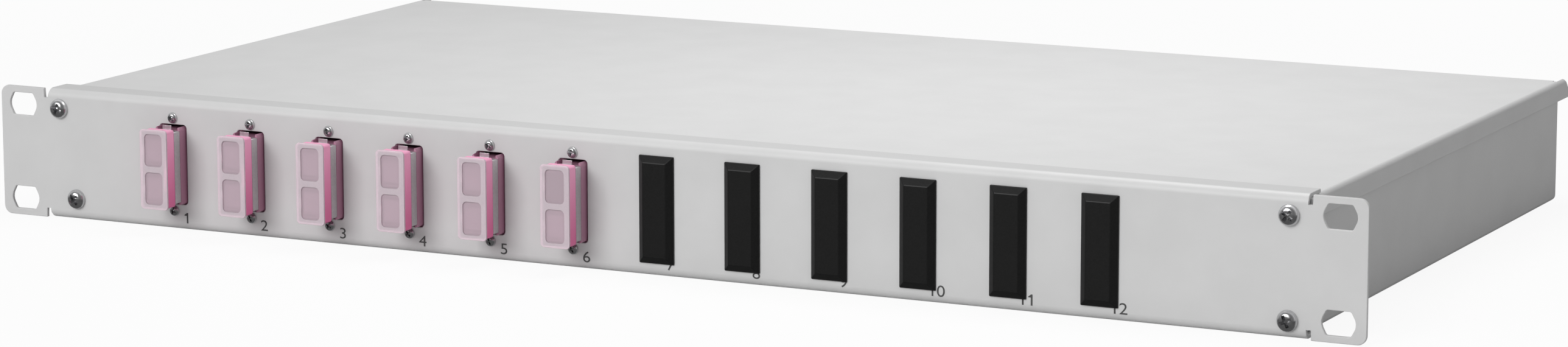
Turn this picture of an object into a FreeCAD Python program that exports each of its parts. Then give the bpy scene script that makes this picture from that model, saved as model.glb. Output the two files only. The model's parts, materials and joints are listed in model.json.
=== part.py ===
import FreeCAD, Part
import math
import os
import Sketcher

# Fibre patch panel for a 19 inch rack, one unit high, in millimetres.
# Origin: centre of the four rack slots, on the back face of the ears. +X right, +Y to the rear, +Z up.

doc = FreeCAD.newDocument("fibre_patch_panel")
sheet = doc.addObject("Spreadsheet::Sheet", "sizes")

DRIVING_SIZES = (
    # Front panel, one folded sheet with its rack ears
    ("rack_width", 482.6),
    ("panel_height", 43.7),
    ("panel_sheet", 1.25),
    ("panel_bend", 3.0),
    ("panel_flange_depth", 10.8),
    ("ear_width", 18.8),
    ("relief_width", 1.5),
    ("relief_past_bend", 0.15),
    ("ear_corner", 3.0),
    ("slot_inset", 8.75),
    ("slot_pitch_up", 31.75),
    ("slot_length", 10.6),
    ("slot_height", 7.6),
    ("slot_end_radius", 3.9),
    ("slot_end_angle", 27.5),
    ("slot_corner", 0.9),
    # Row of ports in the panel
    ("port_margin_left", 68.2),
    ("port_margin_right", 84.4),
    ("port_width", 10.4),
    ("port_height", 26.6),
    ("port_corner", 1.2),
    ("port_screw_pitch", 31.0),
    ("port_screw_hole", 1.15),
    # Folded case: tray and cover
    ("tray_inset", 0.8),
    ("tray_sheet", 1.0),
    ("tray_depth", 243.05),
    ("tray_bend", 1.5),
    ("tray_rear_corner", 2.5),
    ("tab_width", 18.0),
    ("tab_height", 37.0),
    ("cover_sheet", 1.0),
    ("cover_bend", 1.5),
    ("cover_side_height", 6.8),
    ("cover_lip_height", 8.0),
    ("cover_tail", 8.8),
    ("cover_tail_slope", 4.5),
    ("cover_notch_width", 5.2),
    ("cover_notch_depth", 1.6),
    ("cover_notch_place", -2.8),
    ("corner_relief", 2.6),
    ("sheet_gap", 0.1),
    # Screws that hold the panel to the tray: the left pair stands askew
    ("left_top_screw_inset", 23.3),
    ("left_top_screw_up", 15.3),
    ("left_low_screw_inset", 29.4),
    ("left_low_screw_up", -14.8),
    ("right_screw_inset", 24.6),
    ("right_top_screw_up", 15.2),
    ("right_low_screw_up", -16.4),
    ("front_screw_radius", 1.5),
    ("front_screw_length", 7.0),
    ("front_head_radius", 3.3),
    ("front_head_height", 2.2),
    ("screw_clearance", 0.2),
    ("thread_gap", 0.05),
    ("press_nut_radius", 2.5),
    ("press_nut_height", 2.5),
    # Shares of a screw head: rounding of its crown, and the screwdriver cross
    ("crown_share", 0.7),
    ("cross_reach_share", 1.15),
    ("cross_width_share", 0.3),
    ("cross_depth_share", 0.55),
    # Screws along the rear lip of the cover
    ("cover_screw_inset", 71.7),
    ("cover_screw_down", 4.6),
    ("cover_screw_length", 5.0),
    ("cover_head_radius", 2.8),
    ("cover_head_height", 1.7),
    # Duplex adapters
    ("adapter_width", 9.6),
    ("adapter_height", 25.6),
    ("adapter_corner", 0.8),
    ("adapter_front", 11.2),
    ("adapter_rear", 16.0),
    ("neck_front", 6.7),
    ("neck_rear", 3.2),
    ("neck_width", 8.8),
    ("neck_height", 23.2),
    ("shoulder_height", 26.2),
    ("shoulder_corner", 1.5),
    ("ear_slot_width", 7.8),
    ("ear_slot_depth", 1.3),
    ("rear_height", 23.6),
    ("flange_width", 12.4),
    ("flange_height", 36.4),
    ("flange_thickness", 2.0),
    ("flange_corner", 3.0),
    ("socket_width", 7.5),
    ("socket_height", 9.1),
    ("socket_pitch", 12.7),
    ("socket_wall", 2.4),
    ("keyway_width", 2.4),
    ("keyway_depth", 0.55),
    ("sleeve_bore", 1.25),
    ("sleeve_wall", 0.35),
    ("sleeve_length", 11.4),
    ("sleeve_slit_angle", 16.0),
    ("holder_wall", 0.85),
    ("fit_gap", 0.05),
    ("clip_sheet", 0.3),
    ("clip_side_gap", 0.1),
    ("clip_split", 3.0),
    ("clip_ear_width", 3.4),
    ("clip_ear_rise", 1.6),
    # Dust caps of the adapters
    ("cap_width", 10.4),
    ("cap_height", 26.5),
    ("cap_thickness", 0.8),
    ("cap_corner", 1.3),
    ("cap_panel_width", 6.7),
    ("cap_panel_height", 10.7),
    ("cap_panel_depth", 0.45),
    ("cap_panel_corner", 1.4),
    ("cap_plug_length", 6.0),
    ("cap_plug_wall", 0.8),
    ("cap_plug_gap", 0.15),
    # Small screws of the adapters
    ("port_screw_radius", 0.95),
    ("port_screw_length", 6.0),
    ("port_head_radius", 1.8),
    ("port_head_height", 1.2),
    ("port_nut_radius", 2.0),
    ("port_nut_height", 1.6),
    # Blanking plugs
    ("blank_width", 12.15),
    ("blank_height", 34.3),
    ("blank_rim", 0.6),
    ("blank_bevel", 2.1),
    ("blank_bevel_rise", 1.6),
    ("blank_drop", 0.5),
    ("blank_plug_gap", 0.2),
    ("blank_plug_height", 23.4),
    ("blank_plug_wall", 1.2),
    ("blank_plug_depth", 9.0),
    ("barb_reach", 0.7),
    ("barb_length", 2.2),
    ("barb_height", 8.0),
    # Splice tray on its studs
    ("splice_width", 155.0),
    ("splice_depth", 101.0),
    ("splice_height", 9.0),
    ("splice_wall", 1.4),
    ("splice_corner", 14.0),
    ("splice_inset", 115.05),
    ("splice_entry_width", 9.0),
    ("splice_entry_inset", 27.5),
    ("lid_thickness", 1.5),
    ("stud_inset", 15.5),
    ("stud_radius", 2.0),
    ("stud_collar_radius", 5.0),
    ("stud_collar_height", 3.0),
    ("stud_above_lid", 7.0),
    ("knob_radius", 5.0),
    ("knob_height", 5.0),
    ("holder_length", 40.0),
    ("holder_width", 26.0),
    ("holder_base", 1.2),
    ("holder_rib", 1.0),
    ("holder_height", 5.5),
    ("holder_rib_pitch", 3.75),
    ("holder_place", 24.0),
    # Rear wall: cable entries closed with plugs, and the earth bolt
    ("entry_radius", 10.0),
    ("entry_pitch", 32.0),
    ("entry_inset", 29.7),
    ("entry_up", -4.0),
    ("plug_rim_radius", 12.0),
    ("plug_rim_thickness", 1.6),
    ("plug_depth", 7.0),
    ("plug_wall", 1.2),
    ("plug_ring_radius", 6.5),
    ("plug_ring_width", 1.6),
    ("plug_ring_depth", 0.7),
    ("rim_round_share", 0.6),
    ("earth_place", -90.0),
    ("earth_up", -8.0),
    ("earth_radius", 2.0),
    ("earth_length", 14.0),
    ("earth_head_radius", 3.8),
    ("earth_head_height", 2.6),
    ("earth_nut_radius", 3.5),
    ("earth_nut_height", 3.2),
    # Tie bracket and fibre clips on the floor
    ("bracket_length", 90.0),
    ("bracket_foot", 14.0),
    ("bracket_height", 14.0),
    ("bracket_sheet", 1.2),
    ("bracket_bend", 1.8),
    ("bracket_inset", 21.05),
    ("bracket_slot_length", 12.0),
    ("bracket_slot_height", 3.0),
    ("bracket_slot_pitch", 22.0),
    ("bracket_slot_down", 4.9),
    ("rivet_radius", 1.6),
    ("rivet_head_radius", 3.0),
    ("rivet_head_height", 1.0),
    ("rivet_pitch", 60.0),
    ("clip_loop_width", 14.0),
    ("clip_loop_height", 11.0),
    ("clip_loop_wall", 1.5),
    ("clip_loop_length", 8.0),
    ("clip_loop_mouth", 3.0),
    ("clip_loop_side_inset", 71.7),
    ("clip_loop_near", 62.0),
    ("clip_loop_rear_inset", 47.05),
)

ADAPTER_COUNT = 6
PORT_COUNT = 12
COVER_SCREWS = (-1, 0, 1)
ENTRY_STEPS = (0, 1)
SPLICE_RIBS = 10
BRACKET_SLOTS = 4
SIDES = (-1, 1)
SAME_PLACE = 0.01
SAME_WAY = 0.999


class Size:
    # A number together with the sheet expression that gives it, so that sums of sizes stay bound.
    def __init__(self, value, text):
        self.value = float(value)
        self.text = text

    def __add__(self, other):
        other = as_size(other)
        return Size(self.value + other.value, f"({self.text} + {other.text})")

    def __sub__(self, other):
        other = as_size(other)
        return Size(self.value - other.value, f"({self.text} - {other.text})")

    def __mul__(self, other):
        other = as_size(other)
        return Size(self.value * other.value, f"({self.text} * {other.text})")

    def __truediv__(self, other):
        other = as_size(other)
        return Size(self.value / other.value, f"({self.text} / {other.text})")

    def __neg__(self):
        return Size(-self.value, f"(-1 * {self.text})")

    def __radd__(self, other):
        return as_size(other) + self

    def __rsub__(self, other):
        return as_size(other) - self

    def __rmul__(self, other):
        return as_size(other) * self


def as_size(number):
    return number if isinstance(number, Size) else Size(number, f"{number:g}")


def cosine(angle):
    return Size(math.cos(math.radians(angle.value)), f"cos({angle.text} * 1 deg)")


def tangent(angle):
    return Size(math.tan(math.radians(angle.value)), f"tan({angle.text} * 1 deg)")


HALF_ROOT_THREE = Size(math.sqrt(3) / 2, "(sqrt(3) / 2)")


class Sizes:
    # Every driving size as an attribute, read back from the sheet.
    pass


s = Sizes()
for row, (alias, number) in enumerate(DRIVING_SIZES, start=1):
    sheet.set(f"A{row}", alias)
    sheet.set(f"B{row}", f"{number:g}")
    sheet.setAlias(f"B{row}", alias)
doc.recompute()
for alias, number in DRIVING_SIZES:
    setattr(s, alias, Size(sheet.get(alias), f"sizes.{alias}"))


# Places that several pieces share

panel_front = -s.panel_sheet
half_panel = s.panel_height / 2
flange_inside = half_panel - s.panel_sheet
bend_end = s.panel_bend - s.panel_sheet
fold_start = bend_end + 2 * s.sheet_gap
fold_clear = half_panel - s.panel_bend - s.sheet_gap
half_rack = s.rack_width / 2
half_flange = half_rack - s.ear_width
half_tray = half_flange - s.tray_inset
tray_bottom = -1 * (flange_inside - s.sheet_gap)
floor_top = tray_bottom + s.tray_sheet
cover_top = flange_inside - s.sheet_gap
cover_under = cover_top - s.cover_sheet
half_cover = half_tray + s.sheet_gap + s.cover_sheet
tray_top = cover_under - (s.cover_bend - s.cover_sheet)
lip_back = s.tray_depth
lip_inside = lip_back - s.cover_sheet
rear_wall_back = lip_inside - s.sheet_gap
rear_wall_front = rear_wall_back - s.tray_sheet
lip_screw_up = cover_top - s.cover_screw_down
front_screw_hole = s.front_screw_radius + s.screw_clearance
front_screw_places = (
    (s.left_top_screw_inset - half_rack, s.left_top_screw_up),
    (s.left_low_screw_inset - half_rack, s.left_low_screw_up),
    (half_rack - s.right_screw_inset, s.right_top_screw_up),
    (half_rack - s.right_screw_inset, s.right_low_screw_up),
)
first_port = s.port_margin_left - half_rack
port_pitch = (s.rack_width - s.port_margin_left - s.port_margin_right) / (PORT_COUNT - 1)
cover_screw_pitch = half_tray - s.cover_screw_inset
tray_stud_hole = s.stud_radius + s.screw_clearance
splice_place = s.tray_depth - s.splice_inset
stud_across = s.splice_width / 2 - s.stud_inset
bracket_place = s.tray_depth - s.bracket_inset
splice_bottom = floor_top + s.stud_collar_height
splice_floor = splice_bottom + s.splice_wall
splice_top = splice_bottom + s.splice_height
lid_top = splice_top + s.lid_thickness
rivet_hole = s.rivet_radius + s.fit_gap


def entry_place(step):
    return half_tray - s.entry_inset - s.entry_pitch * step


def port_place(index):
    return first_port + port_pitch * (index - 1)


# Sketch and feature helpers

def bind(feature, name, size):
    feature.setExpression(name, as_size(size).text)


def new_body(label):
    body = doc.addObject("PartDesign::Body", label)
    body.Label = label
    return body


def place(body, across=0, back=0, up=0):
    for axis, size in zip("xyz", (across, back, up)):
        bind(body, f"Placement.Base.{axis}", size)


def rectangle(width, height, across=0, up=0, corner=None):
    # Four corners about a centre, each with its own rounding.
    half_width = as_size(width) / 2
    half_height = as_size(height) / 2
    signs = ((-1, -1), (1, -1), (1, 1), (-1, 1))
    return [(across + half_width * i, up + half_height * k, corner) for i, k in signs]


def span(left, low, right, high, corner=None):
    return [(left, low, corner), (right, low, corner), (right, high, corner), (left, high, corner)]


def circle(across, up, radius):
    return ("circle", across, up, radius)


def add_circle(sketch, across, up, radius):
    across, up, radius = as_size(across), as_size(up), as_size(radius)
    centre = FreeCAD.Vector(across.value, up.value, 0)
    number = sketch.addGeometry(Part.Circle(centre, FreeCAD.Vector(0, 0, 1), radius.value), False)
    first = sketch.ConstraintCount
    sketch.addConstraint([
        Sketcher.Constraint("DistanceX", -1, 1, number, 3, across.value),
        Sketcher.Constraint("DistanceY", -1, 1, number, 3, up.value),
        Sketcher.Constraint("Radius", number, radius.value),
    ])
    for step, size in enumerate((across, up, radius)):
        bind(sketch, f"Constraints[{first + step}]", size)


def add_polygon(sketch, corners):
    # Straight sides between the corners; a corner with a radius becomes an arc tangent to both sides.
    corners = [(as_size(c[0]), as_size(c[1]), c[2] if len(c) > 2 else None) for c in corners]
    points = [FreeCAD.Vector(u.value, v.value, 0) for u, v, radius in corners]
    count = len(points)
    ahead = [(points[(k + 1) % count] - points[k]).normalize() for k in range(count)]
    entry, leave, arcs = [], [], {}
    for k, (u, v, radius) in enumerate(corners):
        before, after = ahead[k - 1], ahead[k]
        turn = before.getAngle(after)
        if radius is None:
            entry.append(points[k])
            leave.append(points[k])
            continue
        reach = radius.value * math.tan(turn / 2)
        entry.append(points[k] - before * reach)
        leave.append(points[k] + after * reach)
        left_turn = before.cross(after).z > 0
        inward = FreeCAD.Vector(-before.y, before.x, 0) * (1 if left_turn else -1)
        centre = entry[k] + inward * radius.value
        first, last = (entry[k], leave[k]) if left_turn else (leave[k], entry[k])
        start = math.atan2(first.y - centre.y, first.x - centre.x)
        end = math.atan2(last.y - centre.y, last.x - centre.x)
        end += 2 * math.pi if end < start else 0
        ring = Part.Circle(centre, FreeCAD.Vector(0, 0, 1), radius.value)
        arcs[k] = (Part.ArcOfCircle(ring, start, end), left_turn)
    base = sketch.GeometryCount
    sketch.addGeometry([Part.LineSegment(leave[k], entry[(k + 1) % count]) for k in range(count)], False)
    constraints, bound = [], []

    def fix(kind, number, spot, size):
        bound.append((len(constraints), size))
        constraints.append(Sketcher.Constraint(kind, -1, 1, number, spot, size.value))

    for k, (u, v, radius) in enumerate(corners):
        side, before = base + k, base + (k - 1) % count
        if radius is None:
            constraints.append(Sketcher.Constraint("Coincident", before, 2, side, 1))
            fix("DistanceX", side, 1, u)
            fix("DistanceY", side, 1, v)
            continue
        arc, left_turn = arcs[k]
        number = sketch.addGeometry(arc, False)
        corner = sketch.addGeometry(Part.Point(points[k]), True)
        constraints.append(Sketcher.Constraint("Tangent", before, 2, number, 1 if left_turn else 2))
        constraints.append(Sketcher.Constraint("Tangent", number, 2 if left_turn else 1, side, 1))
        fix("DistanceX", corner, 1, u)
        fix("DistanceY", corner, 1, v)
        constraints.append(Sketcher.Constraint("PointOnObject", corner, 1, before))
        constraints.append(Sketcher.Constraint("PointOnObject", corner, 1, side))
        bound.append((len(constraints), radius))
        constraints.append(Sketcher.Constraint("Radius", number, radius.value))
    first = sketch.ConstraintCount
    sketch.addConstraint(constraints)
    for step, size in bound:
        bind(sketch, f"Constraints[{first + step}]", size)


def draw(body, role, offset, loops):
    sketch = body.newObject("Sketcher::SketchObject", "outline")
    origin_plane = [item for item in body.Origin.OriginFeatures if item.Role == role][0]
    sketch.AttachmentSupport = [(origin_plane, "")]
    sketch.MapMode = "FlatFace"
    bind(sketch, "AttachmentOffset.Base.z", offset)
    for loop in loops:
        if loop[0] == "circle":
            add_circle(sketch, *loop[1:])
        else:
            add_polygon(sketch, loop)
    return sketch


def facing(body, back, *loops):
    # A sketch seen from the front, at a depth behind the origin: across and up.
    return draw(body, "XZ_Plane", -1 * as_size(back), loops)


def plan(body, up, *loops):
    # A sketch seen from above: across and back.
    return draw(body, "XY_Plane", up, loops)


def section(body, across, *loops):
    # A sketch seen from the right: back and up.
    return draw(body, "YZ_Plane", across, loops)


def pad(body, sketch, length, backward=False, both=False):
    feature = body.newObject("PartDesign::Pad", "pad")
    feature.Profile = sketch
    bind(feature, "Length", length)
    feature.Reversed = backward
    if both:
        feature.SideType = "Symmetric"
    return feature


def pocket(body, sketch, length, forward=False, both=False):
    feature = body.newObject("PartDesign::Pocket", "pocket")
    feature.Profile = sketch
    bind(feature, "Length", length)
    feature.Reversed = forward
    if both:
        feature.SideType = "Symmetric"
    return feature


def row(body, feature, sketch, axis, pitch, count):
    pattern = body.newObject("PartDesign::LinearPattern", "row")
    pattern.Originals = [feature]
    pattern.Direction = (sketch, [axis])
    bind(pattern, "Length", as_size(pitch) * (count - 1))
    pattern.Occurrences = count
    body.Tip = pattern
    return pattern


def straight_edges(feature, direction, test):
    # Names of the straight edges along a direction whose middle passes the test.
    doc.recompute()
    names = []
    for number, edge in enumerate(feature.Shape.Edges, start=1):
        if edge.Curve.TypeId != "Part::GeomLine":
            continue
        if abs(edge.Curve.Direction.dot(direction)) > SAME_WAY and test(edge.CenterOfMass):
            names.append(f"Edge{number}")
    return names


def round_edges(body, feature, radius, direction, test):
    fillet = body.newObject("PartDesign::Fillet", "bend")
    fillet.Base = (feature, straight_edges(feature, direction, test))
    bind(fillet, "Radius", radius)
    return fillet


def near(number, size):
    return abs(number - as_size(size).value) < SAME_PLACE


ALONG_X = FreeCAD.Vector(1, 0, 0)
ALONG_Y = FreeCAD.Vector(0, 1, 0)
ALONG_Z = FreeCAD.Vector(0, 0, 1)

nodes = {}


def keep(body):
    nodes[body.Label] = body
    return body


def keep_group(label, bodies):
    group = doc.addObject("Part::Compound", label)
    group.Label = label
    group.Links = bodies
    return keep(group)


def turned(label, profile, angle=360):
    # A round piece about the Y axis: profile corners are radius and place along the axis.
    body = new_body(label)
    sketch = plan(body, 0, profile)
    feature = body.newObject("PartDesign::Revolution", "turned")
    feature.Profile = sketch
    feature.ReferenceAxis = (sketch, ["V_Axis"])
    bind(feature, "Angle", angle)
    return body


def cross_recess(body, head_front, reach, width, depth):
    # The screwdriver cross, cut into the front of a head.
    far = reach / 2
    near_side = width / 2
    arm = ((near_side, far), (near_side, near_side), (far, near_side))
    quarters = ((1, 1), (1, -1), (-1, -1), (-1, 1))
    cross = []
    for turn, (i, k) in enumerate(quarters):
        corners = arm if turn % 2 == 0 else arm[::-1]
        cross += [(u * i, v * k) for u, v in corners]
    pocket(body, facing(body, head_front, cross), depth)


def pan_screw(label, head_radius, head_height, shank_radius, shank_length):
    # Head in front of the seat at zero, with a rounded crown, shank to the rear.
    profile = [
        (0, -1 * head_height),
        (head_radius, -1 * head_height, head_height * s.crown_share),
        (head_radius, 0),
        (shank_radius, 0),
        (shank_radius, shank_length),
        (0, shank_length),
    ]
    body = turned(label, profile)
    cross_recess(body, -1 * head_height, head_radius * s.cross_reach_share,
                 head_radius * s.cross_width_share, head_height * s.cross_depth_share)
    return body


def ring(label, outer, inner, start, end):
    return turned(label, [(inner, start), (outer, start), (outer, end), (inner, end)])


def hexagon(reach):
    # Six corners about the centre, at a reach from it.
    rise = reach * HALF_ROOT_THREE
    half = reach / 2
    return [(reach, 0), (half, rise), (-half, rise), (-reach, 0), (-half, -rise), (half, -rise)]


def hex_nut(label, reach, bore, height):
    body = new_body(label)
    pad(body, facing(body, 0, hexagon(reach), circle(0, 0, bore)), height, backward=True)
    return body


# Front panel

def rack_slot(across, up):
    # Flat above and below, with blunt round ends.
    tip = s.slot_length / 2 - s.slot_end_radius + s.slot_end_radius / cosine(s.slot_end_angle)
    half_height = s.slot_height / 2
    flat = tip - half_height * tangent(s.slot_end_angle)
    return [
        (across + tip, up, s.slot_end_radius),
        (across + flat, up + half_height, s.slot_corner),
        (across - flat, up + half_height, s.slot_corner),
        (across - tip, up, s.slot_end_radius),
        (across - flat, up - half_height, s.slot_corner),
        (across + flat, up - half_height, s.slot_corner),
    ]


def front_panel():
    body = new_body("front_panel")
    flange_back = s.panel_flange_depth - s.panel_sheet
    channel = [
        (panel_front, -half_panel),
        (panel_front, half_panel),
        (flange_back, half_panel),
        (flange_back, flange_inside),
        (0, flange_inside),
        (0, -flange_inside),
        (flange_back, -flange_inside),
        (flange_back, -half_panel),
    ]
    folded = pad(body, section(body, 0, channel), 2 * half_flange, both=True)
    outer = round_edges(body, folded, s.panel_bend, ALONG_X,
                        lambda p: near(p.y, panel_front) and near(abs(p.z), half_panel))
    round_edges(body, outer, bend_end, ALONG_X,
                lambda p: near(p.y, 0) and near(abs(p.z), flange_inside))
    ear_inside = half_flange + s.relief_width
    relief_end = half_panel - s.panel_bend - s.relief_past_bend
    root = half_flange - s.relief_width
    ears = []
    for side in SIDES:
        ears.append([
            (root * side, -relief_end),
            (ear_inside * side, -relief_end),
            (ear_inside * side, -half_panel),
            (half_rack * side, -half_panel, s.ear_corner),
            (half_rack * side, half_panel, s.ear_corner),
            (ear_inside * side, half_panel),
            (ear_inside * side, relief_end),
            (root * side, relief_end),
        ])
    pad(body, facing(body, 0, *ears), s.panel_sheet)
    slot_across = half_rack - s.slot_inset
    slots = [rack_slot(slot_across * i, s.slot_pitch_up / 2 * k) for i in SIDES for k in SIDES]
    pocket(body, facing(body, panel_front, *slots), s.panel_sheet)
    holes = [circle(across, up, front_screw_hole) for across, up in front_screw_places]
    pocket(body, facing(body, panel_front, *holes), s.panel_sheet)
    window = rectangle(s.port_width, s.port_height, first_port, 0, s.port_corner)
    screw_holes = [circle(first_port, s.port_screw_pitch / 2 * k, s.port_screw_hole) for k in SIDES]
    port = facing(body, panel_front, window, *screw_holes)
    row(body, pocket(body, port, s.panel_sheet), port, "H_Axis", port_pitch, PORT_COUNT)
    return keep(body)


# Case: tray and cover

def rear_corner_cut(outer, inner, back, past):
    # Everything behind a rear fold, with a relief that reaches in at each end of the fold.
    relief = back - s.corner_relief
    return [
        (-outer, relief), (-inner, relief), (-inner, back),
        (inner, back), (inner, relief), (outer, relief),
        (outer, past), (-outer, past),
    ]


def chassis_tray():
    body = new_body("chassis_tray")
    inside = half_tray - s.tray_sheet
    rear_half = half_tray - s.tray_bend - s.fit_gap
    channel = [
        (-half_tray, tray_top),
        (-half_tray, tray_bottom),
        (half_tray, tray_bottom),
        (half_tray, tray_top),
        (inside, tray_top),
        (inside, floor_top),
        (-inside, floor_top),
        (-inside, tray_top),
    ]
    folded = pad(body, facing(body, 0, channel), s.tray_depth, backward=True)
    outer = round_edges(body, folded, s.tray_bend, ALONG_Y,
                        lambda p: near(abs(p.x), half_tray) and near(p.z, tray_bottom))
    round_edges(body, outer, s.tray_bend - s.tray_sheet, ALONG_Y,
                lambda p: near(abs(p.x), inside) and near(p.z, floor_top))
    # The floor ends at the rear wall with a relief at each corner, and the side walls run on past it
    floor_end = rear_corner_cut(inside, rear_half, rear_wall_back, s.tray_depth + s.tray_sheet)
    pocket(body, plan(body, floor_top + s.tray_bend, floor_end), s.tray_sheet + 2 * s.tray_bend)
    rear = span(-1 * rear_half, tray_bottom, rear_half, tray_top)
    wall = pad(body, facing(body, rear_wall_front, rear), s.tray_sheet, backward=True)
    round_edges(body, wall, s.tray_bend, ALONG_X,
                lambda p: near(p.y, rear_wall_back) and near(p.z, tray_bottom))
    # Front tabs behind the panel
    tabs = [span((half_tray - s.tab_width) * side, -1 * s.tab_height / 2,
                 half_tray * side, s.tab_height / 2) for side in SIDES]
    pad(body, facing(body, 0, *tabs), s.tray_sheet, backward=True)
    # Floor and walls step back behind the folds of the panel
    past = half_panel + s.panel_sheet
    steps = [span(-1 * s.panel_sheet, fold_clear * side, fold_start, past * side) for side in SIDES]
    pocket(body, section(body, 0, *steps), s.rack_width, both=True)
    holes = [circle(across, up, front_screw_hole) for across, up in front_screw_places]
    pocket(body, facing(body, 0, *holes), s.tray_sheet)
    # Rounded lower rear corners of the side walls
    corner_back = s.tray_depth
    corner_edges = [
        (corner_back + s.tray_sheet, tray_bottom - s.tray_sheet),
        (corner_back + s.tray_sheet, tray_bottom + s.tray_rear_corner),
        (corner_back, tray_bottom + s.tray_rear_corner),
        (corner_back, tray_bottom, s.tray_rear_corner - s.fit_gap),
        (corner_back - s.tray_rear_corner, tray_bottom),
        (corner_back - s.tray_rear_corner, tray_bottom - s.tray_sheet),
    ]
    pocket(body, section(body, 0, corner_edges), s.rack_width, both=True)
    # Rear wall: cable entries, lip screws and earth bolt
    entries = [circle(entry_place(n) * side, s.entry_up, s.entry_radius)
               for side in SIDES for n in ENTRY_STEPS]
    lip_holes = [circle(cover_screw_pitch * n, lip_screw_up, front_screw_hole) for n in COVER_SCREWS]
    earth_hole = circle(s.earth_place, s.earth_up, s.earth_radius + s.fit_gap)
    pocket(body, facing(body, rear_wall_front, *entries, *lip_holes, earth_hole), s.tray_sheet)
    # Floor: rivets of the tie bracket
    rivets = [circle(s.rivet_pitch / 2 * side, bracket_place, rivet_hole) for side in SIDES]
    pocket(body, plan(body, floor_top, *rivets), s.tray_sheet)
    return keep(body)


def top_cover():
    body = new_body("top_cover")
    inside = half_cover - s.cover_sheet
    side_low = cover_top - s.cover_side_height
    channel = [
        (-half_cover, cover_top),
        (half_cover, cover_top),
        (half_cover, side_low),
        (inside, side_low),
        (inside, cover_under),
        (-inside, cover_under),
        (-inside, side_low),
        (-half_cover, side_low),
    ]
    length = lip_back + s.cover_tail - fold_start
    folded = pad(body, facing(body, fold_start, channel), length, backward=True)
    outer = round_edges(body, folded, s.cover_bend, ALONG_Y,
                        lambda p: near(abs(p.x), half_cover) and near(p.z, cover_top))
    round_edges(body, outer, s.cover_bend - s.cover_sheet, ALONG_Y,
                lambda p: near(abs(p.x), inside) and near(p.z, cover_under))
    # The top ends at the rear lip, and only the sides run on as tails with a sloped end
    lip_half = half_tray - s.tray_sheet - 3 * s.sheet_gap
    tail_gap = rear_corner_cut(inside, lip_half, lip_back, lip_back + 2 * s.cover_tail)
    pocket(body, plan(body, cover_top, tail_gap), s.cover_side_height)
    tail_end = lip_back + s.cover_tail
    slope_start = tail_end - s.cover_tail_slope
    slope = [
        (slope_start, cover_top),
        (tail_end, cover_top - s.cover_tail_slope),
        (tail_end + s.cover_tail, cover_top - s.cover_tail_slope),
        (tail_end + s.cover_tail, cover_top + s.cover_tail),
        (slope_start, cover_top + s.cover_tail),
    ]
    pocket(body, section(body, 0, slope), s.rack_width, both=True)
    lip = span(-1 * lip_half, cover_top - s.cover_lip_height, lip_half, cover_top)
    folded_lip = pad(body, facing(body, lip_inside, lip), s.cover_sheet, backward=True)
    round_edges(body, folded_lip, s.cover_bend, ALONG_X,
                lambda p: near(p.y, lip_back) and near(p.z, cover_top))
    # Small lifting notch at the middle of the rear edge
    notch = rectangle(s.cover_notch_width, 2 * s.cover_notch_depth, s.cover_notch_place, lip_back)
    pocket(body, plan(body, cover_top, notch), s.cover_sheet + s.cover_bend)
    holes = [circle(cover_screw_pitch * n, lip_screw_up, front_screw_hole) for n in COVER_SCREWS]
    pocket(body, facing(body, lip_inside, *holes), s.cover_sheet)
    return keep(body)


# Fasteners of the case

def case_fasteners():
    screws, nuts = [], []
    for across, up in front_screw_places:
        screw = pan_screw("front_screw", s.front_head_radius, s.front_head_height,
                          s.front_screw_radius, s.front_screw_length)
        place(screw, across, panel_front, up)
        screws.append(screw)
        nut = ring("press_nut", s.press_nut_radius, s.front_screw_radius + s.thread_gap,
                   0, s.press_nut_height)
        place(nut, across, s.tray_sheet, up)
        nuts.append(nut)
    keep_group("front_screws", screws)
    keep_group("press_nuts", nuts)
    screws, nuts = [], []
    for number in COVER_SCREWS:
        across = cover_screw_pitch * number
        screw = pan_screw("cover_screw", s.cover_head_radius, s.cover_head_height,
                          s.front_screw_radius, s.cover_screw_length)
        place(screw, across, lip_back, lip_screw_up)
        screw.Placement.Rotation = FreeCAD.Rotation(ALONG_Z, 180)
        screws.append(screw)
        nut = ring("cover_nut", s.press_nut_radius, s.front_screw_radius + s.thread_gap,
                   -1 * s.press_nut_height, 0)
        place(nut, across, rear_wall_front, lip_screw_up)
        nuts.append(nut)
    keep_group("cover_screws", screws)
    keep_group("cover_nuts", nuts)


# Duplex adapters and what they hold

adapter_front = panel_front - s.adapter_front
neck_front = panel_front - s.neck_front
neck_rear = panel_front - s.neck_rear
wall_front = s.flange_thickness / 2 - s.socket_wall / 2
wall_rear = s.flange_thickness / 2 + s.socket_wall / 2
sleeve_radius = s.sleeve_bore + s.sleeve_wall
holder_bore = sleeve_radius + s.fit_gap
holder_radius = holder_bore + s.holder_wall
sleeve_start = s.flange_thickness / 2 - s.sleeve_length / 2


def sockets(width, height, corner=None):
    return [rectangle(width, height, 0, s.socket_pitch / 2 * k, corner) for k in SIDES]


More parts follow.
